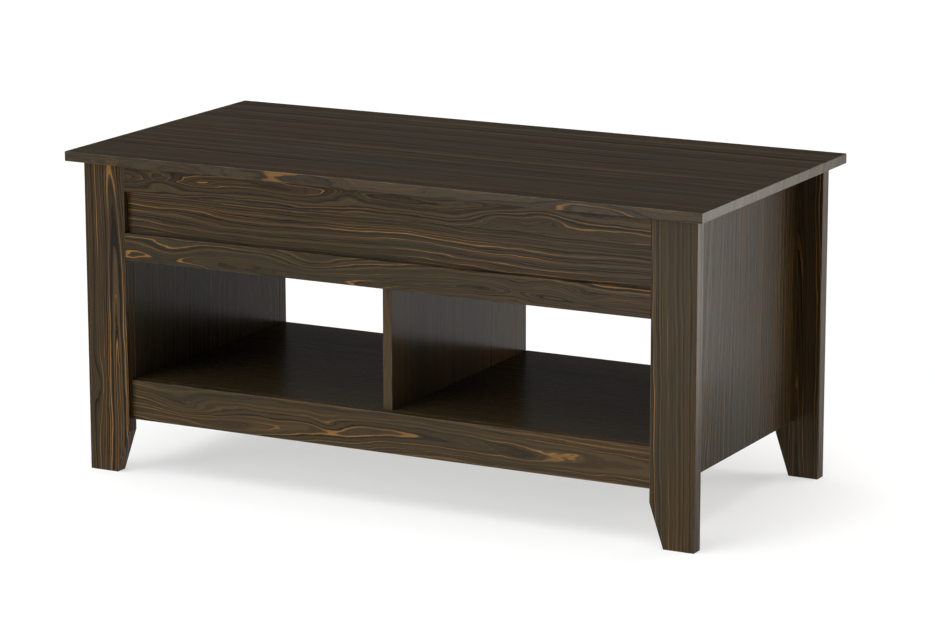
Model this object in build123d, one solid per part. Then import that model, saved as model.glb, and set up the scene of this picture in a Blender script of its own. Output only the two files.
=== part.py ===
"""Lift top coffee table: a board-built frame, two open lower bays and a hidden compartment.

The top board rides on a pair of steel four-bar hinges, which raise it and carry it forward, level.
Millimetres. +X is to the right, -Y is the front, +Z is up. The origin is on the floor, under the
middle of the top board.
"""

import os
from math import asin, atan2, cos, degrees, hypot, pi, radians, sin

from build123d import *

os.makedirs("parts", exist_ok=True)

# Overall sizes
table_width = 1041.0
table_depth = 518.0
table_height = 492.0
top_thickness = 15.0
side_overhang = 17.5
end_overhang = 25.0

# Boards
leg_width = 70.0
leg_foot_width = 48.0
leg_thickness = 21.0
leg_taper_height = 66.0
side_thickness = 32.0
side_bottom = 88.0
board_thickness = 15.0
trim_thickness = 10.0
upper_rail_height = 43.0
recess_height = 63.0
middle_rail_height = 41.0
bottom_rail_height = 61.0
shelf_top = 144.0
divider_back_inset = 3.0
divider_housing_depth = 1.5
edge_round = 1.0

# Knock-down fittings and dowels
cam_radius = 7.5
cam_depth = 12.5
cam_from_end = 34.0
cam_slot_width = 2.0
cam_slot_depth = 1.5
bolt_radius = 3.0
bolt_clearance = 0.6
bolt_bite = 10.0
dowel_radius = 3.0
dowel_length = 24.0
dowel_inset = 14.0
fitting_clearance = 0.05
shelf_fitting_offsets = (110.0, 330.0)
end_fitting_offset = 120.0
leg_fitting_down = 50.0
divider_fixing_offset = 120.0
divider_screw_length = 45.0
divider_screw_radius = 2.5
divider_screw_head_radius = 4.5
divider_screw_head_height = 3.0

# Lift hinge
plate_thickness = 2.5
arm_thickness = 4.0
arm_width = 24.0
washer_thickness = 1.0
washer_radius = 10.0
side_play = 0.2
pin_radius = 4.0
pin_head_radius = 7.5
pin_head_height = 2.0
running_clearance = 0.05
arm_rest_angle = 5.0
arm_travel = 120.0
pivot_spread = 94.0
pivot_drop = 34.0
front_pivot_room = 99.0
back_pivot_room = 26.0
pivot_below_top = 52.0
base_corner_radius = 18.0
base_foot_front = 40.0
base_foot_back = 30.0
base_flange_width = 28.0
bracket_corner_radius = 14.0
bracket_flange_width = 27.0
stop_distance = 45.0
stop_stud_radius = 2.5
stop_sleeve_radius = 4.5
stop_gap = 0.2
stop_boss_radius = 9.0

# Lift spring
spring_wire = 2.5
spring_radius = 6.5
spring_pitch = 2.7
spring_full_turns = 4
spring_leg_reach = 40.0
spring_hook = 6.5
spring_bend_radius = 3.0
spring_foot_gap = 0.5
spring_tab_width = 10.0
spring_tab_height = 12.0

# Hinge screws
screw_radius = 1.9
screw_head_radius = 3.8
screw_head_height = 2.2
plate_screw_length = 14.0
bracket_screw_length = 12.0
plate_screw_height = 14.0
plate_screw_inset = 12.0
flange_screw_inset = 20.0
flange_screw_reach = 17.0
hinge_screw = (screw_head_radius, screw_head_height, screw_radius)

# Worked-out planes of the frame
half_width = table_width / 2
half_depth = table_depth / 2
top_under = table_height - top_thickness
leg_outer_x = half_width - side_overhang
inner_x = leg_outer_x - leg_width
side_outer_x = inner_x + side_thickness
leg_face_y = half_depth - end_overhang
leg_back_y = leg_face_y - leg_thickness
recess_face_y = leg_face_y - trim_thickness
inner_y = recess_face_y - board_thickness
lintel_bottom = top_under - upper_rail_height - recess_height - middle_rail_height
floor_top = lintel_bottom + board_thickness
shelf_bottom = shelf_top - board_thickness
bottom_rail_bottom = shelf_top - bottom_rail_height
shelf_middle = shelf_top - board_thickness / 2
floor_middle = floor_top - board_thickness / 2
rail_tops = {"front": shelf_top, "back": shelf_bottom}
leg_fitting_heights = ((bottom_rail_bottom + shelf_bottom) / 2, top_under - leg_fitting_down)

# Worked-out pivots of the right-hand hinge, in Y and Z
rest_direction = (cos(radians(arm_rest_angle)), sin(radians(arm_rest_angle)))
open_angle = radians(arm_rest_angle + arm_travel)
front_pivot = (-inner_y + front_pivot_room, top_under - pivot_below_top)
rear_pivot = (front_pivot[0] + pivot_spread, front_pivot[1] - pivot_drop)
arm_length = (inner_y - back_pivot_room - rear_pivot[0]) / rest_direction[0]
arm_vector = (arm_length * rest_direction[0], arm_length * rest_direction[1])
front_top_pivot = (front_pivot[0] + arm_vector[0], front_pivot[1] + arm_vector[1])
rear_top_pivot = (rear_pivot[0] + arm_vector[0], rear_pivot[1] + arm_vector[1])
stop_offset = arm_width / 2 + stop_sleeve_radius + stop_gap
stop_centre = (
    front_pivot[0] + stop_distance * cos(open_angle) - stop_offset * sin(open_angle),
    front_pivot[1] + stop_distance * sin(open_angle) + stop_offset * cos(open_angle),
)

# Worked-out layers of the hinge, as distances inwards from the side panel
arm_near = plate_thickness + washer_thickness + side_play
arm_far = arm_near + arm_thickness
bracket_near = arm_far + side_play + washer_thickness
bracket_far = bracket_near + plate_thickness

# Worked-out angles and layers of the spring. Its lifting leg slopes down to pass under the arm.
leg_to_arm = arm_width / 2 + spring_wire / 2 + stop_gap
leg_slope = degrees(asin(leg_to_arm / hypot(spring_radius, spring_leg_reach)))
leg_slope -= degrees(atan2(spring_radius, spring_leg_reach)) + arm_rest_angle
spring_turns = spring_full_turns + (270 - leg_slope) / 360
leg_drift = spring_leg_reach * spring_pitch / (2 * pi * spring_radius)
coil_start = arm_far + 2 * side_play + spring_wire / 2 + leg_drift
coil_end = coil_start + spring_turns * spring_pitch
spring_pin_end = coil_end + spring_wire


def board(x_limits, y_limits, z_limits):
    """A board between two limits on each axis, with lightly eased edges."""
    size = [high - low for low, high in (x_limits, y_limits, z_limits)]
    middle = [(high + low) / 2 for low, high in (x_limits, y_limits, z_limits)]
    block = Pos(*middle) * Box(*size)
    return fillet(block.edges(), edge_round)


def mirrored_pair(shape):
    """The right-hand shape and its left-hand twin."""
    return {"right": shape, "left": mirror(shape, about=Plane.YZ)}


def save(shape, name):
    """Write one sub-part's STEP file."""
    export_step(shape, f"parts/{name}.step")


# Boards


def make_leg(side, end):
    """A flat leg board, tapered on its inner edge towards the foot."""
    outline = Polyline(
        (side * leg_outer_x, 0),
        (side * leg_outer_x, top_under),
        (side * inner_x, top_under),
        (side * inner_x, leg_taper_height),
        (side * (leg_outer_x - leg_foot_width), 0),
        close=True,
    )
    y_face = min(end * leg_face_y, end * leg_back_y)
    profile = Plane.XZ.offset(-y_face) * make_face(outline)
    leg = extrude(profile, amount=leg_thickness, dir=(0, 1, 0))
    return fillet(leg.edges(), edge_round)


def make_boards():
    """Every board of the table, by name, before any hole is cut."""
    inner = (-inner_x, inner_x)
    boards = {}
    boards["table_top"] = board(
        (-half_width, half_width),
        (-half_depth, half_depth),
        (top_under, table_height),
    )
    for side_name, side in (("left", -1), ("right", 1)):
        side_x = sorted((side * inner_x, side * side_outer_x))
        side_y = (-leg_back_y, leg_back_y)
        boards[f"side_panel_{side_name}"] = board(side_x, side_y, (side_bottom, top_under))
        for end_name, end in (("front", -1), ("back", 1)):
            boards[f"leg_{end_name}_{side_name}"] = make_leg(side, end)
    for end_name, end in (("front", -1), ("back", 1)):
        rail_y = sorted((end * inner_y, end * recess_face_y))
        boards[f"bottom_rail_{end_name}"] = board(inner, rail_y, (bottom_rail_bottom, rail_tops[end_name]))
        boards[f"compartment_{end_name}"] = board(inner, rail_y, (lintel_bottom, top_under))
    trim_y = (-leg_face_y, -recess_face_y)
    middle_rail_top = lintel_bottom + middle_rail_height
    boards["upper_rail"] = board(inner, trim_y, (top_under - upper_rail_height, top_under))
    boards["middle_rail"] = board(inner, trim_y, (lintel_bottom, middle_rail_top))
    shelf_y = (-inner_y, recess_face_y)
    housing_x = (-board_thickness / 2, board_thickness / 2)
    housing = Pos(0, sum(shelf_y) / 2, shelf_top) * Box(
        board_thickness, shelf_y[1] - shelf_y[0], 2 * divider_housing_depth
    )
    boards["bottom_shelf"] = board(inner, shelf_y, (shelf_bottom, shelf_top)) - housing
    boards["compartment_floor"] = board(inner, (-inner_y, inner_y), (lintel_bottom, floor_top))
    boards["center_divider"] = board(
        housing_x,
        (-inner_y, recess_face_y - divider_back_inset),
        (shelf_top - divider_housing_depth, lintel_bottom),
    )
    return boards


# Cam fittings, dowels and screws. In a fitting's own frame, X runs from the joint into the board
# that holds the cam, and Z points out of the face where the cam goes in.


def cam_joints():
    """Each cam joint: the board with the cam, the board it pulls in, and the fitting's frame."""
    joints = []
    depth_to_axis = board_thickness / 2
    for side_name, side in (("left", -1), ("right", 1)):
        for end_name, end in (("front", -1), ("back", 1)):
            for height in leg_fitting_heights:
                origin = (side * (inner_x + depth_to_axis), end * leg_back_y, height)
                frame = Plane(origin, x_dir=(0, -end, 0), z_dir=(-side, 0, 0))
                joints.append((f"side_panel_{side_name}", f"leg_{end_name}_{side_name}", frame))
    for side_name, side in (("left", -1), ("right", 1)):
        for host, height in (("bottom_shelf", shelf_middle), ("compartment_floor", floor_middle)):
            for y in (-end_fitting_offset, end_fitting_offset):
                frame = Plane((side * inner_x, y, height), x_dir=(-side, 0, 0), z_dir=(0, 0, -1))
                joints.append((host, f"side_panel_{side_name}", frame))
        for x in (side * offset for offset in shelf_fitting_offsets):
            for host, mate, end, height in (
                ("bottom_shelf", "bottom_rail_front", -1, shelf_middle),
                ("compartment_floor", "compartment_front", -1, floor_middle),
                ("compartment_floor", "compartment_back", 1, floor_middle),
            ):
                frame = Plane((x, end * inner_y, height), x_dir=(0, -end, 0), z_dir=(0, 0, -1))
                joints.append((host, mate, frame))
            origin = (x, inner_y + depth_to_axis, shelf_bottom)
            frame = Plane(origin, x_dir=(0, 0, -1), z_dir=(0, -1, 0))
            joints.append(("bottom_rail_back", "bottom_shelf", frame))
    return joints


def cylinder_along_x(radius, start, end):
    """A cylinder along the fitting's X axis."""
    return Pos(start, 0, 0) * Rot(0, 90, 0) * extrude(Circle(radius), amount=end - start)


def cam_body(radius, depth):
    """A disc let into the board's face, centred on the cam's axis."""
    disc = Cylinder(radius, depth, align=(Align.CENTER, Align.CENTER, Align.MAX))
    return Pos(cam_from_end, 0, board_thickness / 2) * disc


def make_cam():
    """A cam: a zinc disc with a bore for the bolt's head and a cross slot for the driver."""
    reach = cam_from_end + bolt_radius + bolt_clearance
    cam = cam_body(cam_radius - fitting_clearance, cam_depth)
    cam -= cylinder_along_x(bolt_radius + bolt_clearance, 0, reach)
    face = Pos(cam_from_end, 0, board_thickness / 2)
    for turn in (0, 90):
        cam -= face * Rot(0, 0, turn) * Box(cam_radius * 1.4, cam_slot_width, 2 * cam_slot_depth)
    return cam


def fit_cams(boards):
    """Cut the holes for the cam fittings, and make the cams and bolts."""
    cams = []
    bolts = []
    for host, mate, frame in cam_joints():
        place = frame.location
        bolt_end = cam_from_end + bolt_radius
        bolt_way = cylinder_along_x(bolt_radius + bolt_clearance, 0, cam_from_end)
        boards[host] -= place * (cam_body(cam_radius, cam_depth) + bolt_way)
        bite = cylinder_along_x(bolt_radius + fitting_clearance, -bolt_bite - fitting_clearance, 0)
        boards[mate] -= place * bite
        cams.append(place * make_cam())
        bolts.append(place * cylinder_along_x(bolt_radius, -bolt_bite, bolt_end))
    return cams, bolts


def dowel_joints():
    """Each dowel: the two boards it joins, the middle of the joint, and the dowel's direction."""
    joints = []
    for side_name, side in (("left", -1), ("right", 1)):
        for end_name, end in (("front", -1), ("back", 1)):
            leg = f"leg_{end_name}_{side_name}"
            rail_heights = (bottom_rail_bottom + dowel_inset, rail_tops[end_name] - dowel_inset)
            wall_heights = (lintel_bottom + dowel_inset, top_under - dowel_inset)
            dowel_y = end * (leg_back_y + recess_face_y) / 2
            for rail, heights in (("bottom_rail", rail_heights), ("compartment", wall_heights)):
                for height in heights:
                    centre = (side * inner_x, dowel_y, height)
                    joints.append((leg, f"{rail}_{end_name}", centre, (1, 0, 0)))
    for y in (-divider_fixing_offset, divider_fixing_offset):
        joints.append(("center_divider", "compartment_floor", (0, y, lintel_bottom), (0, 0, 1)))
    return joints


def fit_dowels(boards):
    """Cut the dowel holes and make the dowels; a dowel into a board's face is set low in its edge."""
    dowels = []
    for first, second, centre, direction in dowel_joints():
        shift = 0 if direction[0] else dowel_length / 2 - board_thickness / 2
        place = Pos(0, 0, -shift) * Plane(centre, z_dir=direction).location
        hole = place * Cylinder(dowel_radius + fitting_clearance, dowel_length + 2 * fitting_clearance)
        boards[first] -= hole
        boards[second] -= hole
        dowels.append(place * Cylinder(dowel_radius, dowel_length))
    return dowels


def flat_head_screw(head_radius, head_height, shank_radius, length):
    """A countersunk screw pointing up +Z, with its head's flat face at the origin, facing down."""
    head = Cone(head_radius, shank_radius, head_height, align=(Align.CENTER, Align.CENTER, Align.MIN))
    shank = extrude(Circle(shank_radius), amount=length)
    return head + shank


def screw_slot(head_radius):
    """The cross recess cut in a screw's head."""
    bar = Box(head_radius * 1.1, head_radius * 0.22, head_radius * 0.5)
    return bar + Rot(0, 0, 90) * bar


def place_screw(frame, head_radius, head_height, shank_radius, length):
    """A screw with its cross recess, and the hole that it sits in."""
    place = frame.location
    screw = flat_head_screw(head_radius, head_height, shank_radius, length) - screw_slot(head_radius)
    grow = fitting_clearance
    hole = flat_head_screw(head_radius + grow, head_height + grow, shank_radius + grow, length + grow)
    return place * screw, place * hole


def fit_divider_screws(boards):
    """Two long screws up through the shelf into the divider's lower edge."""
    screws = []
    for y in (-divider_fixing_offset, divider_fixing_offset):
        frame = Plane((0, y, shelf_bottom), z_dir=(0, 0, 1))
        screw, hole = place_screw(
            frame,
            divider_screw_head_radius,
            divider_screw_head_height,
            divider_screw_radius,
            divider_screw_length,
        )
        boards["bottom_shelf"] -= hole
        boards["center_divider"] -= hole
        screws.append(screw)
    return screws


# Lift hinge. Flat pieces are drawn in Y and Z and placed by their distance inwards from the side
# panel, so each one is made for the right-hand side.


def layer(outline, near, far):
    """A flat piece that lies between two distances inwards from the right side panel."""
    return extrude(Plane.YZ.offset(inner_x - far) * outline, amount=far - near)


def disc(centre, radius):
    """A disc in Y and Z."""
    return Pos(*centre) * Circle(radius)


def hull_of(*shapes):
    """The convex outline round some flat shapes."""
    edges = []
    for shape in shapes:
        edges += shape.edges()
    return make_hull(edges)


def make_arm(low_pivot, high_pivot):
    """A flat bar with round ends and a running hole at each pivot."""
    outline = hull_of(disc(low_pivot, arm_width / 2), disc(high_pivot, arm_width / 2))
    for centre in (low_pivot, high_pivot):
        outline -= disc(centre, pin_radius + running_clearance)
    return layer(outline, arm_near, arm_far)


def spring_coil_frame():
    """The spring's frame: X runs back, Y down and Z inwards, from the rear arm's lower pivot."""
    return Plane((inner_x, rear_pivot[0], rear_pivot[1]), x_dir=(0, 1, 0), z_dir=(-1, 0, 0))


def base_limits():
    """The front and back ends of the base plate's foot."""
    return front_pivot[0] - base_foot_front, rear_pivot[0] + base_foot_back


def make_base():
    """An angle: an upright plate on the side panel, and a foot flange on the compartment floor."""
    front, back = base_limits()
    foot = Rectangle(back - front, plate_thickness)
    foot = Pos((front + back) / 2, floor_top + plate_thickness / 2) * foot
    outline = hull_of(
        disc(front_pivot, base_corner_radius),
        disc(rear_pivot, base_corner_radius),
        disc(stop_centre, stop_boss_radius),
        foot,
    )
    for centre in (front_pivot, rear_pivot):
        outline -= disc(centre, pin_radius + running_clearance)
    outline -= disc(stop_centre, stop_stud_radius + running_clearance)
    base = layer(outline, 0, plate_thickness)
    base += layer(foot, 0, base_flange_width)
    tab_y = rear_pivot[0] + spring_radius - spring_wire / 2 - stop_gap - plate_thickness / 2
    tab = Pos(tab_y, floor_top + spring_tab_height / 2) * Rectangle(plate_thickness, spring_tab_height)
    return base + layer(tab, coil_end - spring_tab_width / 2, coil_end + spring_tab_width / 2)


def bracket_limits():
    """The front and back ends of the top bracket."""
    return front_top_pivot[0] - bracket_corner_radius, rear_top_pivot[0] + bracket_corner_radius


def make_bracket():
    """An angle: an upright cheek that hangs from the top board, and a flange screwed to it."""
    front, back = bracket_limits()
    strip = Rectangle(back - front, plate_thickness)
    strip = Pos((front + back) / 2, top_under - plate_thickness / 2) * strip
    outline = hull_of(
        disc(front_top_pivot, bracket_corner_radius),
        disc(rear_top_pivot, bracket_corner_radius),
        strip,
    )
    for centre in (front_top_pivot, rear_top_pivot):
        outline -= disc(centre, pin_radius + running_clearance)
    bracket = layer(outline, bracket_near, bracket_far)
    return bracket + layer(strip, bracket_near, bracket_near + bracket_flange_width)


def make_base_pins():
    """The two pins riveted in the base plate; the rear one is longer, to carry the spring."""
    short_head = arm_far + side_play
    front = layer(disc(front_pivot, pin_radius), 0, short_head)
    front += layer(disc(front_pivot, pin_head_radius), short_head, short_head + pin_head_height)
    rear = layer(disc(rear_pivot, pin_radius), 0, spring_pin_end)
    rear += layer(disc(rear_pivot, pin_head_radius), spring_pin_end, spring_pin_end + pin_head_height)
    return Compound(children=[front, rear])


def make_top_pins():
    """The two pins through the bracket's cheek, headed at both ends."""
    pins = []
    outer_end = arm_near - side_play
    for centre in (front_top_pivot, rear_top_pivot):
        pin = layer(disc(centre, pin_radius), outer_end - pin_head_height, bracket_far + pin_head_height)
        pin += layer(disc(centre, pin_head_radius), outer_end - pin_head_height, outer_end)
        pin += layer(disc(centre, pin_head_radius), bracket_far, bracket_far + pin_head_height)
        pins.append(pin)
    return Compound(children=pins)


def make_washers(centres, near):
    """Nylon washers on a pair of pins."""
    ring = Circle(washer_radius) - Circle(pin_radius + running_clearance)
    washers = [layer(Pos(*centre) * ring, near, near + washer_thickness) for centre in centres]
    return Compound(children=washers)


def make_stop_stud():
    """The steel stud that the raised front arm leans on, with a head over its sleeve."""
    head_near = arm_far + side_play
    stud = layer(disc(stop_centre, stop_stud_radius), 0, head_near)
    return stud + layer(disc(stop_centre, stop_sleeve_radius), head_near, head_near + pin_head_height)


def make_stop_sleeve():
    """The rubber sleeve on the stop stud."""
    ring = disc(stop_centre, stop_sleeve_radius) - disc(stop_centre, stop_stud_radius + running_clearance)
    return layer(ring, plate_thickness, arm_far + side_play)


def make_spring():
    """A torsion spring on the rear pin: one leg on the base's tab, the other hooked under the arm."""
    coil = Rot(0, 0, 90 + leg_slope) * Helix(spring_pitch, spring_turns * spring_pitch, spring_radius)
    corner = coil @ 0 - (coil % 0) * spring_leg_reach
    tip = corner - Vector(0, 0, spring_hook)
    hooked_leg = FilletPolyline(tip, corner, coil @ 0, radius=spring_bend_radius)
    foot_drop = rear_pivot[1] - floor_top - plate_thickness - spring_foot_gap
    fixed_leg = Line(coil @ 1, coil @ 1 + (coil % 1) * foot_drop)
    path = Wire([*hooked_leg.edges(), *coil.edges(), *fixed_leg.edges()])
    spring = sweep(Plane(path @ 0, z_dir=path % 0) * Circle(spring_wire / 2), path=path, is_frenet=True)
    return spring_coil_frame().location * Pos(0, 0, coil_start) * spring


def fit_base_screws(boards, base):
    """Countersunk screws through the right base plate into the side panel and the floor."""
    front, back = base_limits()
    screws = []
    height = floor_top + plate_screw_height
    for y in (front + plate_screw_inset, (front + back) / 2, back - plate_screw_inset):
        frame = Plane((inner_x - plate_thickness, y, height), z_dir=(1, 0, 0))
        screw, hole = place_screw(frame, *hinge_screw, plate_screw_length)
        base -= hole
        boards["side_panel_right"] -= hole
        boards["side_panel_left"] -= mirror(hole, about=Plane.YZ)
        screws.append(screw)
    for y in (front + flange_screw_inset, back - flange_screw_inset):
        origin = (inner_x - flange_screw_reach, y, floor_top + plate_thickness)
        frame = Plane(origin, z_dir=(0, 0, -1))
        screw, hole = place_screw(frame, *hinge_screw, bracket_screw_length)
        base -= hole
        boards["compartment_floor"] -= hole + mirror(hole, about=Plane.YZ)
        screws.append(screw)
    return base, Compound(children=screws)


def fit_bracket_screws(boards, bracket):
    """Countersunk screws up through the right bracket's flange into the top board."""
    front, back = bracket_limits()
    screws = []
    x = inner_x - (bracket_far + bracket_near + bracket_flange_width) / 2
    for y in (front + plate_screw_inset, (front + back) / 2, back - plate_screw_inset):
        frame = Plane((x, y, top_under - plate_thickness), z_dir=(0, 0, 1))
        screw, hole = place_screw(frame, *hinge_screw, bracket_screw_length)
        bracket -= hole
        boards["table_top"] -= hole + mirror(hole, about=Plane.YZ)
        screws.append(screw)
    return bracket, Compound(children=screws)


boards = make_boards()
cams, bolts = fit_cams(boards)
dowels = fit_dowels(boards)
divider_screws = fit_divider_screws(boards)
hinge_base, base_screws = fit_base_screws(boards, make_base())
top_bracket, bracket_screws = fit_bracket_screws(boards, make_bracket())

handed = {
    "hinge_base": hinge_base,
    "front_arm": make_arm(front_pivot, front_top_pivot),
    "rear_arm": make_arm(rear_pivot, rear_top_pivot),
    "top_bracket": top_bracket,
    "base_pins": make_base_pins(),
    "top_pins": make_top_pins(),
    "base_washers": make_washers((front_pivot, rear_pivot), plate_thickness),
    "bracket_washers": make_washers((front_top_pivot, rear_top_pivot), arm_far + side_play),
    "stop_stud": make_stop_stud(),
    "stop_sleeve": make_stop_sleeve(),
    "lift_spring": make_spring(),
    "base_screws": base_screws,
    "bracket_screws": bracket_screws,
}

for name, shape in boards.items():
    save(shape, name)
for name, shape in handed.items():
    for side_name, copy in mirrored_pair(shape).items():
        save(copy, f"{name}_{side_name}")
save(Compound(children=cams), "cam_locks")
save(Compound(children=bolts), "cam_bolts")
save(Compound(children=dowels), "wood_dowels")
save(Compound(children=divider_screws), "divider_screws")

print("arm length", round(arm_length, 2))
print("front pivot", front_pivot, "rear pivot", rear_pivot)
print("front top pivot", front_top_pivot, "rear top pivot", rear_top_pivot)
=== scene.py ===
import math

import bmesh
import bpy
from mathutils import Matrix, Vector


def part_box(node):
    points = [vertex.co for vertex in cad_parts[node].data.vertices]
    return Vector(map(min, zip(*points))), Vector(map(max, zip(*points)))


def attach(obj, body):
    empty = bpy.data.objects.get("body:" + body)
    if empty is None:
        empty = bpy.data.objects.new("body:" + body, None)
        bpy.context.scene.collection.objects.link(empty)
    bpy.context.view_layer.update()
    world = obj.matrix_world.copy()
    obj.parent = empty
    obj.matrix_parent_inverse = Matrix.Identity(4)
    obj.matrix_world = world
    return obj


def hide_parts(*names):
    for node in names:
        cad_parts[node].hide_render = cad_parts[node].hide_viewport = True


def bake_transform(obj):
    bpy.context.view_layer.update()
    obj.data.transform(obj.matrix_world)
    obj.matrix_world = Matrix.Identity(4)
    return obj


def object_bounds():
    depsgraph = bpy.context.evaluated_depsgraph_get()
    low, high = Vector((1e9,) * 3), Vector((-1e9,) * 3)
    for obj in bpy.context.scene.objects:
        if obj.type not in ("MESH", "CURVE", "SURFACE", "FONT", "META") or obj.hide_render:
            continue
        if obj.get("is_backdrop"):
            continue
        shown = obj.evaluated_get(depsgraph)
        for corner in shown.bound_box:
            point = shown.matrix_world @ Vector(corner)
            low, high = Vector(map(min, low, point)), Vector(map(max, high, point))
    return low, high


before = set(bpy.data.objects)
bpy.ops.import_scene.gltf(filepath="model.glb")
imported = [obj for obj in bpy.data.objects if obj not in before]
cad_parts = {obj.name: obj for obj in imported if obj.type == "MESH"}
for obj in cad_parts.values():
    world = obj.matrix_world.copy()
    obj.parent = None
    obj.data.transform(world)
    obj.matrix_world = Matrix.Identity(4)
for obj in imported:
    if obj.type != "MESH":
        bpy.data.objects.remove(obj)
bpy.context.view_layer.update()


# ---- End panels ----
# Two thick end panels stand on edge between the legs. They are wrapped in paper printed as dark
# stained timber, with the grain upright, and cams pull them to the legs.

# Printed timber: the near-black and brown of the rings, and the orange of the heart streaks
RING_DARK = (0.0080, 0.0056, 0.0028, 1.0)
RING_BROWN = (0.0360, 0.0228, 0.0098, 1.0)
RING_LIGHT = (0.0580, 0.0365, 0.0160, 1.0)
HEART_ORANGE = (0.2100, 0.1020, 0.0250, 1.0)
STAIN_GREEN = (0.0230, 0.0205, 0.0110, 1.0)
# The lighter colour on the arrises is partly paper wear and partly a painted highlight along the edges
RUBBED_EDGE_AND_HIGHLIGHT = (0.1150, 0.0820, 0.0520, 1.0)
EDGE_WEAR_AND_HIGHLIGHT_WIDTH = 0.0013

# How far the heart wanders along the trunk, and how far the rings bend, in metres
HEART_WANDER = 0.085
RING_RIPPLE = 0.013
RING_WAVER = 0.007

# How long a knot's swirl is, and how far it pushes the rings, as shares of the knot's size
KNOT_STRETCH = 2.8
KNOT_SWELL = 0.7

# Late wood lines and heart streaks in each metre of radius
LINES_PER_METRE = 1100.0
STREAKS_PER_METRE = 520.0


def add_node(tree, kind, inputs=(), **settings):
    """One node with its settings, and its inputs by name or number as values or links."""
    made = tree.nodes.new(kind)
    for setting, value in settings.items():
        setattr(made, setting, value)
    for key, value in dict(inputs).items():
        if isinstance(value, bpy.types.NodeSocket):
            tree.links.new(value, made.inputs[key])
        else:
            made.inputs[key].default_value = value
    return made


def calc(tree, operation, *values):
    """The result of a maths node."""
    return add_node(tree, "ShaderNodeMath", enumerate(values), operation=operation).outputs[0]


def ease(tree, value, low, high, start=0.0, end=1.0):
    """A soft step from start to end while the value goes from low to high."""
    limits = {"Value": value, "From Min": low, "From Max": high, "To Min": start, "To Max": end}
    return add_node(tree, "ShaderNodeMapRange", limits, interpolation_type="SMOOTHSTEP").outputs[0]


def grain_noise(tree, trunk, lengthwise, crosswise, shift, detail=2.0):
    """Soft noise drawn out along the trunk."""
    stretch = {0: trunk, 1: (lengthwise, crosswise, crosswise), 2: (shift, shift, shift)}
    spot = add_node(tree, "ShaderNodeVectorMath", stretch, operation="MULTIPLY_ADD").outputs[0]
    values = {"Vector": spot, "Scale": 1.0, "Detail": detail}
    return add_node(tree, "ShaderNodeTexNoise", values).outputs["Fac"]


def ring_noise(tree, radius, rings, shift, detail=2.0):
    """Uneven bands that follow the growth rings."""
    turn = calc(tree, "MULTIPLY_ADD", radius, rings, shift)
    values = {"W": turn, "Scale": 1.0, "Detail": detail, "Roughness": 0.55}
    return add_node(tree, "ShaderNodeTexNoise", values, noise_dimensions="1D").outputs["Fac"]


def blend_colour(tree, share, first, second):
    """Two colours mixed by a share from 0 to 1."""
    values = {0: share, 6: first, 7: second}
    return add_node(tree, "ShaderNodeMix", values, data_type="RGBA").outputs[2]


def new_finish(name):
    """A material, its node tree, its shader and the position on the piece."""
    material = bpy.data.materials.new(name)
    material.use_nodes = True
    tree = material.node_tree
    place = add_node(tree, "ShaderNodeTexCoord").outputs["Object"]
    return material, tree, tree.nodes["Principled BSDF"], place


def arris_distance(tree, place, low, high):
    """How far a point on a box-shaped board is from the nearest edge between two of its faces."""
    axes = add_node(tree, "ShaderNodeSeparateXYZ", {0: place}).outputs
    gaps = []
    for axis, start, end in zip(axes, low, high):
        from_middle = calc(tree, "ABSOLUTE", calc(tree, "SUBTRACT", axis, (start + end) / 2))
        gaps.append(calc(tree, "SUBTRACT", (end - start) / 2, from_middle))
    nearer = calc(tree, "MINIMUM", gaps[0], gaps[1])
    farther = calc(tree, "MAXIMUM", gaps[0], gaps[1])
    return calc(tree, "MAXIMUM", nearer, calc(tree, "MINIMUM", farther, gaps[2]))


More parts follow.
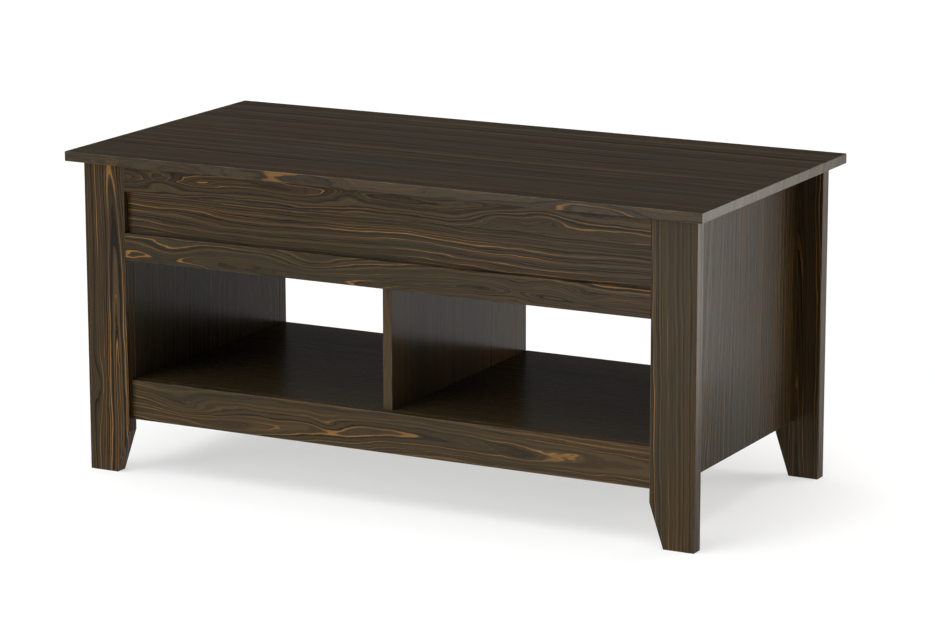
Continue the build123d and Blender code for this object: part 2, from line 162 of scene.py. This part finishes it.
def wood_finish(
    board,
    grain,
    seed,
    pith,
    lean=0.0,
    swirl=1.0,
    streaks=1.0,
    knots=(),
    roughness=0.33,
    sheen=0.09,
    rings=300.0,
    pale=0.0,
):
    """The printed timber of one board, cut from a trunk of its own.

    grain names the axes along, across and through the board. pith is how far the heart lies
    across from the board's middle and below it, lean is how fast it sinks along the board, and each
    knot is its place along and across, and its size, all in metres. swirl scales the rings' bends
    and streaks the orange. roughness is the lacquer's, and sheen is how strongly it reflects. rings
    is how many bands lie in a metre. pale raises the tone of the whole print, and lowers it when
    negative: painted light, and painted shade when negative, set board by board to how brightly each
    board is lit."""
    low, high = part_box(board)
    material, tree, shader, place = new_finish(f"{board}_finish")
    centre = (low + high) / 2
    values = {"Vector": place, "Location": -centre}
    axes = add_node(
        tree, "ShaderNodeSeparateXYZ", {0: add_node(tree, "ShaderNodeMapping", values).outputs[0]}
    ).outputs
    along, across, through = (axes[name] for name in grain)
    trunk = add_node(tree, "ShaderNodeCombineXYZ", {0: along, 1: across, 2: through}).outputs[0]

    # The rings: distance from a wandering heart, pushed aside by the knots
    wander = calc(tree, "SUBTRACT", grain_noise(tree, trunk, 1.7, 6.0, seed), 0.5)
    ripple = calc(tree, "SUBTRACT", grain_noise(tree, trunk, 10.0, 42.0, seed + 5), 0.5)
    aside = calc(tree, "MULTIPLY_ADD", wander, HEART_WANDER * swirl, calc(tree, "SUBTRACT", across, pith[0]))
    aside = calc(tree, "MULTIPLY_ADD", ripple, RING_RIPPLE * swirl, aside)
    depth = calc(tree, "MULTIPLY_ADD", along, lean, calc(tree, "ADD", through, pith[1]))
    radius = calc(tree, "SQRT", calc(tree, "MULTIPLY_ADD", aside, aside, calc(tree, "POWER", depth, 2.0)))
    waver = calc(tree, "SUBTRACT", grain_noise(tree, trunk, 16.0, 70.0, seed + 17, 3.0), 0.5)
    radius = calc(tree, "MULTIPLY_ADD", waver, RING_WAVER * swirl, radius)
    for knot_along, knot_across, size in knots:
        run = calc(tree, "DIVIDE", calc(tree, "SUBTRACT", along, knot_along), KNOT_STRETCH * size)
        rise = calc(tree, "DIVIDE", calc(tree, "SUBTRACT", across, knot_across), size)
        reach = calc(tree, "MULTIPLY_ADD", run, run, calc(tree, "MULTIPLY", rise, rise))
        swell = calc(tree, "EXPONENT", calc(tree, "MULTIPLY", reach, -1.0))
        radius = calc(tree, "MULTIPLY_ADD", swell, KNOT_SWELL * size, radius)

    # The print: brown bands, dark late wood, fine fibres, and orange streaks that come and go
    bands = ring_noise(tree, radius, rings, seed, 2.0)
    lines = ring_noise(tree, radius, LINES_PER_METRE, seed * 3.1, 3.0)
    fibres = grain_noise(tree, trunk, 18.0, 900.0, seed + 9, 3.0)
    patches = grain_noise(tree, trunk, 3.2, 15.0, seed + 13)
    tone = calc(tree, "MULTIPLY_ADD", lines, 0.45, calc(tree, "MULTIPLY", bands, 0.75))
    # Here pale shifts the whole tone: painted light on boards lit more, painted shade on boards lit less
    tone = calc(tree, "MULTIPLY_ADD", fibres, 0.30, calc(tree, "ADD", tone, pale - 0.25))
    colour = blend_colour(tree, ease(tree, tone, 0.34, 0.54), RING_DARK, RING_BROWN)
    colour = blend_colour(tree, ease(tree, tone, 0.52, 0.72), colour, RING_LIGHT)
    stain = ease(tree, grain_noise(tree, trunk, 2.1, 9.0, seed + 21), 0.48, 0.66, 0.0, 0.45)
    colour = blend_colour(tree, stain, colour, STAIN_GREEN)
    heart = ease(tree, ring_noise(tree, radius, STREAKS_PER_METRE, seed * 7.3, 2.0), 0.58, 0.71)
    glow = calc(tree, "MULTIPLY", heart, ease(tree, patches, 0.42, 0.62, 0.10, 0.95 * streaks))
    glow = calc(tree, "MULTIPLY", glow, ease(tree, fibres, 0.30, 0.62, 0.55, 1.0))
    colour = blend_colour(tree, glow, colour, HEART_ORANGE)

    # The arrises, rubbed a little lighter: partly wear of the paper and partly a painted highlight along the
    # edges
    from_arris = arris_distance(tree, place, low, high)
    edge = ease(tree, from_arris, 0.3 * EDGE_WEAR_AND_HIGHLIGHT_WIDTH, EDGE_WEAR_AND_HIGHLIGHT_WIDTH, 1.0, 0.0)
    edge_breakup = grain_noise(tree, trunk, 40.0, 40.0, seed + 31)
    rub_and_highlight = calc(tree, "MULTIPLY", edge, ease(tree, edge_breakup, 0.35, 0.65))
    colour = blend_colour(tree, calc(tree, "MULTIPLY", rub_and_highlight, 0.45), colour, RUBBED_EDGE_AND_HIGHLIGHT)

    # The satin lacquer, a touch duller in the open pores
    pores = ease(tree, grain_noise(tree, trunk, 30.0, 1500.0, seed + 40, 2.0), 0.40, 0.60)
    dullness = calc(tree, "MULTIPLY_ADD", pores, -0.06, roughness + 0.05)
    dullness = calc(tree, "MULTIPLY_ADD", calc(tree, "SUBTRACT", tone, 0.5), -0.15, dullness)
    height = calc(tree, "MULTIPLY_ADD", tone, 0.6, calc(tree, "MULTIPLY", pores, 0.4))
    relief = add_node(tree, "ShaderNodeBump", {"Height": height, "Strength": 0.16, "Distance": 0.0004})
    tree.links.new(colour, shader.inputs["Base Color"])
    tree.links.new(dullness, shader.inputs["Roughness"])
    tree.links.new(relief.outputs["Normal"], shader.inputs["Normal"])
    shader.inputs["Specular IOR Level"].default_value = sheen
    return material


def dress(node_name, material):
    """A CAD node keeps its shape and takes a finish."""
    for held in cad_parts[node_name].material_slots:
        held.material = material


left_print = {"pith": (0.11, 0.22), "lean": 0.02, "swirl": 0.5, "streaks": 0.35}
left_wood = wood_finish("side_panel_left", "ZYX", 3.7, **left_print, roughness=0.22, sheen=0.08)
dress("side_panel_left", left_wood)
# The right panel's pale of -0.05 makes its print darker: painted shade
right_print = {"pith": (-0.16, 0.22), "lean": -0.02, "swirl": 0.45, "streaks": 0.6, "pale": -0.05}
right_wood = wood_finish("side_panel_right", "ZYX", 8.2, **right_print, roughness=0.20, sheen=0.04)
dress("side_panel_right", right_wood)


# ---- Legs ----
# Four flat leg boards, each with its inner edge tapered near the floor. They are solid boards in
# the same printed paper, with upright grain and long narrow loops where the cut crosses the heart.

LEG_FIGURES = {
    "front_left": (11.3, (0.012, 0.016), 0.035, 0.55, 1.25),
    "front_right": (24.9, (-0.05, 0.03), 0.02, 0.40, 1.0),
    "back_left": (37.1, (0.03, 0.02), -0.03, 0.50, 1.0),
    "back_right": (51.6, (-0.004, 0.02), 0.03, 0.50, 1.2),
}
LEG_KNOTS = {"front_left": ((-0.105, -0.014, 0.011),)}
# The front right leg's pale makes its print lighter: painted light
LEG_PAINTED_LIGHT = {"front_right": 0.05}
for corner, (seed, pith, lean, swirl, streaks) in LEG_FIGURES.items():
    knots = LEG_KNOTS.get(corner, ())
    leg_painted_light = LEG_PAINTED_LIGHT.get(corner, 0.0)
    leg_wood = wood_finish(f"leg_{corner}", "ZXY", seed, pith, lean, swirl, streaks, knots, pale=leg_painted_light)
    dress(f"leg_{corner}", leg_wood)


# ---- Bottom rails ----
# The front rail hides the shelf's edge and the back rail carries it from below. Both are dowelled
# into the legs, and the front one shows arched figure from a cut near the heart.

# The front rail's pale makes its print lighter: painted light
arched_figure = {
    "pith": (-0.006, 0.018),
    "lean": 0.03,
    "swirl": 0.75,
    "knots": ((-0.345, 0.0, 0.016), (-0.09, 0.0, 0.010)),
    "pale": 0.07,
}
dress("bottom_rail_front", wood_finish("bottom_rail_front", "XZY", 62.4, **arched_figure))
plain_figure = {"pith": (0.02, 0.03), "lean": -0.02, "swirl": 0.8, "streaks": 0.8}
dress("bottom_rail_back", wood_finish("bottom_rail_back", "XZY", 71.8, **plain_figure))


# ---- Bottom shelf and divider ----
# The shelf is the floor of both open bays. The divider stands in a shallow housing across its
# middle, held from below by two long screws and from above by two dowels.

shelf_print = {"pith": (0.10, 0.06), "lean": 0.01, "swirl": 0.6, "streaks": 0.5}
shelf_wood = wood_finish("bottom_shelf", "XYZ", 83.5, **shelf_print, roughness=0.22, sheen=0.06)
dress("bottom_shelf", shelf_wood)
# The divider's pale makes its print lighter: painted light
divider_print = {"pith": (0.14, 0.10), "lean": 0.02, "swirl": 0.5, "streaks": 0.4, "pale": 0.15}
divider_wood = wood_finish("center_divider", "ZYX", 94.2, **divider_print, roughness=0.18, sheen=0.12)
dress("center_divider", divider_wood)


# ---- Hidden compartment ----
# Front, back and floor boards make the tray under the top. The front board shows as a straight
# grained strip set back between two applied rails.

COMPARTMENT_FIGURES = {
    "floor": ("XYZ", 105.3, (0.08, 0.08), 0.6, 0.6),
    "back": ("XZY", 117.7, (0.06, 0.05), 0.5, 0.8),
    "front": ("XZY", 128.1, (0.13, 0.05), 0.62, 0.95),
}
for part, (grain, seed, pith, swirl, streaks) in COMPARTMENT_FIGURES.items():
    node_name = f"compartment_{part}"
    dress(node_name, wood_finish(node_name, grain, seed, pith, lean=0.01, swirl=swirl, streaks=streaks))


# ---- Applied rails ----
# Two 10 mm rails are glued on the compartment's front, flush with the legs. Their print has knots
# and swirling figure with bright heart streaks.

UPPER_KNOTS = ((-0.368, 0.0, 0.014), (-0.05, 0.004, 0.012), (0.199, -0.006, 0.013), (0.262, 0.002, 0.014))
MIDDLE_KNOTS = ((-0.353, 0.004, 0.013), (-0.11, 0.010, 0.015), (0.227, 0.004, 0.012), (0.333, -0.002, 0.010))
RAIL_SWIRL = 0.80
upper_wood = wood_finish("upper_rail", "XZY", 139.6, (0.004, 0.012), 0.02, RAIL_SWIRL, knots=UPPER_KNOTS)
middle_wood = wood_finish("middle_rail", "XZY", 151.4, (-0.008, 0.012), -0.02, RAIL_SWIRL, knots=MIDDLE_KNOTS)
dress("upper_rail", upper_wood)
dress("middle_rail", middle_wood)


# ---- Cam fittings ----
# Cast zinc cams sit flush in round holes in the boards' hidden faces. A screwdriver turns each one
# by its cross slot, and it pulls in the head of a steel bolt that stands in the neighbouring board.

SAME_PLANE = 1e-5
SHANK_DROP = 0.0004
CAM_CORE_RADIUS = 0.003
CAM_CORE_LENGTH = 0.006
SLOT_SIZES = {"Slot Length": 0.0098, "Slot Width": 0.0019, "Slot Depth": 0.0024}


def solids_of(node_name):
    """Each solid in a CAD node: its lowest and highest corner, and which end of each axis has more
    points, as 1 or -1. The slotted end of a cam or a screw has the most."""
    shell = bmesh.new()
    shell.from_mesh(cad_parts[node_name].data)
    bmesh.ops.remove_doubles(shell, verts=shell.verts, dist=1e-6)
    waiting = set(shell.verts)
    boxes = []
    while waiting:
        found = [waiting.pop()]
        for vertex in found:
            near = {edge.other_vert(vertex) for edge in vertex.link_edges} & waiting
            waiting -= near
            found.extend(near)
        low, high = (Vector(pick(v.co[axis] for v in found) for axis in range(3)) for pick in (min, max))
        busier = []
        for axis in range(3):
            at_high = sum(v.co[axis] > high[axis] - SAME_PLANE for v in found)
            at_low = sum(v.co[axis] < low[axis] + SAME_PLANE for v in found)
            busier.append(1.0 if at_high > at_low else -1.0)
        boxes.append((low, high, busier))
    shell.free()
    return sorted(boxes, key=lambda box: tuple(round(value, 4) for value in box[0]))


def fitting_tree():
    """Geometry nodes for turned fittings with a cross slot, one on each point, facing its arrow."""
    tree = bpy.data.node_groups.new("turned_fitting", "GeometryNodeTree")
    tree.interface.new_socket("Geometry", in_out="INPUT", socket_type="NodeSocketGeometry")
    for size in ("Face Radius", "Foot Radius", "Head Depth", "Shank Radius", "Length", *SLOT_SIZES):
        tree.interface.new_socket(size, in_out="INPUT", socket_type="NodeSocketFloat")
    tree.interface.new_socket("Finish", in_out="INPUT", socket_type="NodeSocketMaterial")
    tree.interface.new_socket("Geometry", in_out="OUTPUT", socket_type="NodeSocketGeometry")
    given = tree.nodes.new("NodeGroupInput").outputs
    wing_height = calc(tree, "MULTIPLY", given["Slot Depth"], 2.0)

    head_sizes = {
        "Vertices": 40,
        "Radius Top": given["Face Radius"],
        "Radius Bottom": given["Foot Radius"],
        "Depth": given["Head Depth"],
    }
    head = add_node(tree, "GeometryNodeMeshCone", head_sizes).outputs["Mesh"]
    head_drop = add_node(tree, "ShaderNodeCombineXYZ", {2: calc(tree, "MULTIPLY", given["Head Depth"], -1.0)})
    head = add_node(tree, "GeometryNodeTransform", {0: head, "Translation": head_drop.outputs[0]}).outputs[0]
    shank_sizes = {"Vertices": 24, "Radius": given["Shank Radius"], "Depth": given["Length"]}
    shank = add_node(tree, "GeometryNodeMeshCylinder", shank_sizes).outputs["Mesh"]
    shank_middle = calc(tree, "MULTIPLY_ADD", given["Length"], -0.5, -SHANK_DROP)
    shank_drop = add_node(tree, "ShaderNodeCombineXYZ", {2: shank_middle}).outputs[0]
    shank = add_node(tree, "GeometryNodeTransform", {0: shank, "Translation": shank_drop}).outputs[0]
    body = add_node(tree, "GeometryNodeMeshBoolean", operation="UNION")
    tree.links.new(head, body.inputs["Mesh 2"])
    tree.links.new(shank, body.inputs["Mesh 2"])

    cut = add_node(tree, "GeometryNodeMeshBoolean", {"Mesh 1": body.outputs["Mesh"]}, operation="DIFFERENCE")
    for sides in (("Slot Length", "Slot Width"), ("Slot Width", "Slot Length")):
        wing_size = {0: given[sides[0]], 1: given[sides[1]], 2: wing_height}
        size = add_node(tree, "ShaderNodeCombineXYZ", wing_size).outputs[0]
        wing = add_node(tree, "GeometryNodeMeshCube", {"Size": size}).outputs["Mesh"]
        tree.links.new(wing, cut.inputs["Mesh 2"])

    arrow = add_node(tree, "GeometryNodeInputNamedAttribute", {"Name": "facing"}, data_type="FLOAT_VECTOR")
    turn = add_node(tree, "FunctionNodeAlignRotationToVector", {"Vector": arrow.outputs[0]}, axis="Z")
    copies = {"Points": given["Geometry"], "Instance": cut.outputs["Mesh"], "Rotation": turn.outputs[0]}
    placed = add_node(tree, "GeometryNodeInstanceOnPoints", copies).outputs[0]
    real = add_node(tree, "GeometryNodeRealizeInstances", {0: placed}).outputs[0]
    dressed = add_node(tree, "GeometryNodeSetMaterial", {0: real, "Material": given["Finish"]}).outputs[0]
    tree.links.new(dressed, tree.nodes.new("NodeGroupOutput").inputs["Geometry"])
    return tree


turned_fitting = fitting_tree()


def fit_rows(name, rows, sizes, finish):
    """One plain mesh of turned fittings, from rows of a face's middle and the way it faces."""
    points = bpy.data.meshes.new(f"{name}_points")
    points.from_pydata([place for place, facing in rows], [], [])
    arrows = points.attributes.new("facing", "FLOAT_VECTOR", "POINT")
    for item, (place, facing) in zip(arrows.data, rows):
        item.vector = facing
    holder = bpy.data.objects.new(f"{name}_points", points)
    bpy.context.scene.collection.objects.link(holder)
    modifier = holder.modifiers.new("fittings", "NODES")
    modifier.node_group = turned_fitting
    for socket in turned_fitting.interface.items_tree:
        if socket.in_out == "INPUT" and socket.name in sizes:
            modifier[socket.identifier] = sizes[socket.name]
        if socket.name == "Finish":
            modifier[socket.identifier] = finish
    shown = holder.evaluated_get(bpy.context.evaluated_depsgraph_get())
    mesh = bpy.data.meshes.new_from_object(shown)
    holder.modifiers.clear()
    bpy.data.objects.remove(holder)
    bpy.data.meshes.remove(points)
    mesh.name = name
    piece = bpy.data.objects.new(name, mesh)
    bpy.context.scene.collection.objects.link(piece)
    return piece


def metal_finish(name, colour, roughness, drawn, seed):
    """Plated or cast metal: a cloudy coat, hair scratches along one axis, and dull handled spots."""
    material, tree, shader, place = new_finish(name)
    cloud_size = {"Vector": place, "Scale": 260.0, "Detail": 5.0}
    clouds = add_node(tree, "ShaderNodeTexNoise", cloud_size).outputs["Fac"]
    stretch = {0: place, 1: tuple(60.0 if axis == drawn else 2600.0 for axis in "XYZ"), 2: (seed, seed, seed)}
    spot = add_node(tree, "ShaderNodeVectorMath", stretch, operation="MULTIPLY_ADD").outputs[0]
    scratch_size = {"Vector": spot, "Scale": 1.0, "Detail": 3.0}
    scratches = add_node(tree, "ShaderNodeTexNoise", scratch_size).outputs["Fac"]
    darker = (*(0.80 * value for value in colour), 1.0)
    shade = blend_colour(tree, ease(tree, clouds, 0.35, 0.65), darker, (*colour, 1.0))
    shade = blend_colour(tree, ease(tree, scratches, 0.55, 0.75, 0.0, 0.35), shade, darker)
    dullness = calc(tree, "MULTIPLY_ADD", clouds, 0.22, roughness - 0.09)
    relief = add_node(tree, "ShaderNodeBump", {"Height": scratches, "Strength": 0.2, "Distance": 0.0001})
    tree.links.new(shade, shader.inputs["Base Color"])
    tree.links.new(dullness, shader.inputs["Roughness"])
    tree.links.new(relief.outputs["Normal"], shader.inputs["Normal"])
    shader.inputs["Metallic"].default_value = 1.0
    return material


cast_zinc = metal_finish("cast_zinc", (0.56, 0.57, 0.58), 0.45, "Z", 2.0)
turned_steel = metal_finish("turned_steel", (0.62, 0.62, 0.61), 0.32, "X", 6.0)
cam_rows = []
for low, high, busier in solids_of("cam_locks"):
    size = high - low
    axis = min(range(3), key=lambda index: size[index])
    facing = Vector((0, 0, 0))
    facing[axis] = busier[axis]
    cam_rows.append(((low + high) / 2 + facing * size[axis] / 2, facing))
cam_radius = max(size) / 2
cam_sizes = {
    "Face Radius": cam_radius,
    "Foot Radius": cam_radius,
    "Head Depth": min(size),
    "Shank Radius": CAM_CORE_RADIUS,
    "Length": CAM_CORE_LENGTH,
    **SLOT_SIZES,
}
cams = fit_rows("cast_cams", cam_rows, cam_sizes, cast_zinc)
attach(cams, "frame")
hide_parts("cam_locks")
dress("cam_bolts", turned_steel)


# ---- Dowels and divider screws ----
# Fluted beech dowels line up the rails with the legs, and two long countersunk screws come up
# through the shelf into the divider.

BEECH_PALE = (0.62, 0.42, 0.24, 1.0)
BEECH_FLECK = (0.38, 0.22, 0.11, 1.0)
HEAD_SINK = 0.0002
HEAD_GAP = 0.0002
TIP_GAP = 0.001
SCREW_SLOT = {"Slot Length": 0.0052, "Slot Width": 0.0011, "Slot Depth": 0.0016}


def dowel_finish():
    """Plain beech, with short dark rays."""
    material, tree, shader, place = new_finish("beech")
    flecks = grain_noise(tree, place, 240.0, 900.0, 4.0)
    colour = blend_colour(tree, ease(tree, flecks, 0.50, 0.68), BEECH_PALE, BEECH_FLECK)
    tree.links.new(colour, shader.inputs["Base Color"])
    tree.links.new(ease(tree, flecks, 0.3, 0.7, 0.6, 0.75), shader.inputs["Roughness"])
    relief = add_node(tree, "ShaderNodeBump", {"Height": flecks, "Strength": 0.2, "Distance": 0.0002})
    tree.links.new(relief.outputs["Normal"], shader.inputs["Normal"])
    return material


def add_screws(name, node_name, body, finish):
    """Countersunk cross-head screws in place of a node's, their heads at the same ends."""
    rows = []
    for low, high, busier in solids_of(node_name):
        size = high - low
        axis = max(range(3), key=lambda index: size[index])
        facing = Vector((0, 0, 0))
        facing[axis] = busier[axis]
        face = (low + high) / 2 + facing * (size[axis] / 2 - HEAD_SINK)
        rows.append((face, facing, min(size) / 2 - HEAD_GAP, max(size)))
    for length in sorted({round(row[3], 4) for row in rows}):
        alike = [row for row in rows if round(row[3], 4) == length]
        radius = alike[0][2]
        sizes = {
            "Face Radius": radius,
            "Foot Radius": 0.45 * radius,
            "Head Depth": 0.62 * radius,
            "Shank Radius": 0.42 * radius,
            "Length": length - TIP_GAP,
            **SCREW_SLOT,
        }
        made = fit_rows(f"{name}_{round(length * 1000)}mm", [row[:2] for row in alike], sizes, finish)
        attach(made, body)
        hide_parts(node_name)


dress("wood_dowels", dowel_finish())
screw_plate = metal_finish("screw_plate", (0.47, 0.47, 0.45), 0.30, "Z", 9.0)
add_screws("divider_screw", "divider_screws", "frame", screw_plate)


# ---- Hinge bases ----
# A stamped steel angle on each side panel and the compartment's floor carries one pair of arms.
# It is zinc plated after stamping, and held by five countersunk screws.

plated_steel = metal_finish("plated_steel", (0.60, 0.61, 0.62), 0.36, "Y", 12.0)
for side in ("left", "right"):
    dress(f"hinge_base_{side}", plated_steel)
    add_screws(f"base_screw_{side}", f"base_screws_{side}", "frame", screw_plate)


# ---- Arms, pins and washers ----
# Two flat arms a side keep the top level as it swings up and forward. They turn on riveted pins,
# with thin nylon washers that keep the steel faces apart.

NYLON_DULL = (0.70, 0.69, 0.64, 1.0)
NYLON_PALE = (0.80, 0.79, 0.75, 1.0)


def nylon_finish():
    """Natural nylon: milky, waxy and slightly mottled."""
    material, tree, shader, place = new_finish("natural_nylon")
    mottle_size = {"Vector": place, "Scale": 400.0, "Detail": 3.0}
    mottle = add_node(tree, "ShaderNodeTexNoise", mottle_size).outputs["Fac"]
    milky = blend_colour(tree, mottle, NYLON_DULL, NYLON_PALE)
    tree.links.new(milky, shader.inputs["Base Color"])
    tree.links.new(ease(tree, mottle, 0.3, 0.7, 0.42, 0.55), shader.inputs["Roughness"])
    relief = add_node(tree, "ShaderNodeBump", {"Height": mottle, "Strength": 0.15, "Distance": 0.0001})
    tree.links.new(relief.outputs["Normal"], shader.inputs["Normal"])
    shader.inputs["Subsurface Weight"].default_value = 0.1
    return material


nylon = nylon_finish()
arm_steel = metal_finish("arm_steel", (0.58, 0.59, 0.60), 0.38, "Y", 15.0)
for side in ("left", "right"):
    dress(f"front_arm_{side}", arm_steel)
    dress(f"rear_arm_{side}", arm_steel)
    dress(f"base_pins_{side}", turned_steel)
    dress(f"top_pins_{side}", turned_steel)
    dress(f"base_washers_{side}", nylon)
    dress(f"bracket_washers_{side}", nylon)


# ---- Lift springs ----
# A torsion spring is wound round each rear pin in oil-blackened wire. One leg stands on the
# base's tab and the other hooks under the rear arm, so the coil twists as the arm turns.

spring_wire = metal_finish("spring_wire", (0.075, 0.073, 0.072), 0.40, "X", 21.0)
for side in ("left", "right"):
    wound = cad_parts[f"lift_spring_{side}"].data.copy()
    wire = bmesh.new()
    wire.from_mesh(wound)
    bmesh.ops.remove_doubles(wire, verts=wire.verts, dist=1e-6)
    for face in wire.faces:
        face.smooth = True
    wire.to_mesh(wound)
    wire.free()
    wound.materials.clear()
    wound.materials.append(spring_wire)
    spring = bpy.data.objects.new(f"wound_spring_{side}", wound)
    bpy.context.scene.collection.objects.link(spring)
    low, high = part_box(f"lift_spring_{side}")
    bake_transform(spring)
    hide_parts(f"lift_spring_{side}")


# ---- Stops ----
# A steel stud on each base wears a rubber sleeve, which the raised front arm comes to rest on. The
# sleeve is a short length of black rubber tube.

RUBBER_BLACK = (0.012, 0.012, 0.012, 1.0)
RUBBER_DUST = (0.045, 0.044, 0.042, 1.0)


def rubber_finish():
    """Matt black rubber with a dusty bloom."""
    material, tree, shader, place = new_finish("sleeve_rubber")
    bloom_size = {"Vector": place, "Scale": 260.0, "Detail": 5.0}
    bloom = add_node(tree, "ShaderNodeTexNoise", bloom_size).outputs["Fac"]
    dusty = blend_colour(tree, bloom, RUBBER_BLACK, RUBBER_DUST)
    tree.links.new(dusty, shader.inputs["Base Color"])
    tree.links.new(ease(tree, bloom, 0.3, 0.7, 0.65, 0.85), shader.inputs["Roughness"])
    relief = add_node(tree, "ShaderNodeBump", {"Height": bloom, "Strength": 0.3, "Distance": 0.0002})
    tree.links.new(relief.outputs["Normal"], shader.inputs["Normal"])
    return material


sleeve_rubber = rubber_finish()
for side in ("left", "right"):
    dress(f"stop_stud_{side}", turned_steel)
    dress(f"stop_sleeve_{side}", sleeve_rubber)


# ---- Top brackets ----
# A second pair of plated angles hangs under the top board, each on three countersunk screws.

for side in ("left", "right"):
    dress(f"top_bracket_{side}", plated_steel)
    add_screws(f"bracket_screw_{side}", f"bracket_screws_{side}", "top", screw_plate)


# ---- Top ----
# One wide 15 mm board that lifts. Its print is calmer than the rails', with long faint grain
# from end to end, and its lacquer is satin.

# The top's pale makes its print a little darker: painted shade
top_print = {"pith": (0.33, 0.12), "lean": 0.01, "swirl": 0.5, "streaks": 0.7, "rings": 90.0, "pale": -0.03}
dress("table_top", wood_finish("table_top", "XYZ", 163.9, **top_print, roughness=0.34, sheen=0.14))


# ---- Studio ----
# A plain pale floor and a white surround, two wide soft lights from above and from the front left,
# a low fill in front, and a softbox behind on the right that grazes the end panel. The floor glows,
# and the surround is brighter to the camera than it is as a light.

FLOOR_RADIUS = 16.0
floor_mesh = bpy.data.meshes.new("studio_floor")
disc = bmesh.new()
bmesh.ops.create_circle(disc, cap_ends=True, segments=96, radius=FLOOR_RADIUS)
disc.to_mesh(floor_mesh)
disc.free()
studio_floor = bpy.data.objects.new("studio_floor", floor_mesh)
bpy.context.scene.collection.objects.link(studio_floor)
floor_paint, floor_tree, floor_shader, floor_place = new_finish("floor_paint")
mottle = add_node(floor_tree, "ShaderNodeTexNoise", {"Vector": floor_place, "Scale": 1.5, "Detail": 4.0})
pale = blend_colour(floor_tree, mottle.outputs["Fac"], (0.46, 0.46, 0.46, 1.0), (0.50, 0.50, 0.497, 1.0))
floor_tree.links.new(pale, floor_shader.inputs["Base Color"])
floor_shader.inputs["Roughness"].default_value = 0.9
floor_shader.inputs["Emission Color"].default_value = (1.0, 1.0, 1.0, 1.0)
floor_shader.inputs["Emission Strength"].default_value = 0.56
floor_shader.inputs["Specular IOR Level"].default_value = 0.0
studio_floor.data.materials.append(floor_paint)
studio_floor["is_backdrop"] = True

surround = bpy.data.worlds.new("studio_surround")
surround.use_nodes = True
bpy.context.scene.world = surround
SURROUND_SEEN = 1.0
SURROUND_LIGHT = 0.11
sky_tree = surround.node_tree
seen = add_node(sky_tree, "ShaderNodeLightPath").outputs["Is Camera Ray"]
brightness = calc(sky_tree, "MULTIPLY_ADD", seen, SURROUND_SEEN - SURROUND_LIGHT, SURROUND_LIGHT)
sky_tree.links.new(brightness, sky_tree.nodes["Background"].inputs["Strength"])
sky_tree.nodes["Background"].inputs["Color"].default_value = (1.0, 1.0, 1.0, 1.0)


def aim(place, target):
    """A lamp's matrix at a place, facing a target."""
    turn = (Vector(target) - Vector(place)).to_track_quat("-Z", "Y")
    return Matrix.Translation(place) @ turn.to_matrix().to_4x4()


def add_lamp(name, kind, place, target, power, **settings):
    """A lamp that lights the table and isn't seen itself."""
    lamp = bpy.data.lights.new(name, kind)
    lamp.energy = power
    for setting, value in settings.items():
        setattr(lamp, setting, value)
    held = bpy.data.objects.new(name, lamp)
    held.matrix_world = aim(place, target)
    held.visible_camera = False
    bpy.context.scene.collection.objects.link(held)


add_lamp("ceiling_light", "SUN", (-0.7, -0.7, 4.0), (0.0, 0.0, 0.25), 2.6, angle=math.radians(70))
add_lamp("front_light", "SUN", (-2.2, -4.0, 1.4), (0.0, 0.0, 0.25), 1.9, angle=math.radians(40))
add_lamp("low_fill", "AREA", (-0.05, -1.4, 0.10), (0.4, -0.23, 0.08), 3.5, shape="DISK", size=0.7)
add_lamp(
    "panel_softbox",
    "AREA",
    (0.99, 0.60, 0.32),
    (0.465, -0.15, 0.28),
    3.9,
    shape="RECTANGLE",
    size=0.42,
    size_y=0.64,
    color=(1.0, 0.94, 0.86),
)

CAMERA_PLACE = (2.59646, -4.86377, 1.48899)
CAMERA_AZIMUTH = math.radians(27.9)
CAMERA_ELEVATION = math.radians(12.8)
CAMERA_ROLL = math.radians(-0.1)
CAMERA_LENS = 145.08
CAMERA_SENSOR = 36.0
back = Vector(
    (
        math.sin(CAMERA_AZIMUTH) * math.cos(CAMERA_ELEVATION),
        -math.cos(CAMERA_AZIMUTH) * math.cos(CAMERA_ELEVATION),
        math.sin(CAMERA_ELEVATION),
    )
)
right = Vector((0, 0, 1)).cross(back).normalized()
up = back.cross(right)
turned_right = math.cos(CAMERA_ROLL) * right + math.sin(CAMERA_ROLL) * up
turned_up = math.cos(CAMERA_ROLL) * up - math.sin(CAMERA_ROLL) * right
lens = bpy.data.cameras.new("camera")
lens.sensor_width = CAMERA_SENSOR
lens.lens = CAMERA_LENS
camera = bpy.data.objects.new("camera", lens)
axes = Matrix((turned_right, turned_up, back)).transposed().to_4x4()
camera.matrix_world = Matrix.Translation(CAMERA_PLACE) @ axes
bpy.context.scene.collection.objects.link(camera)
bpy.context.scene.camera = camera
bpy.context.scene.view_settings.view_transform = "Standard"


low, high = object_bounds()
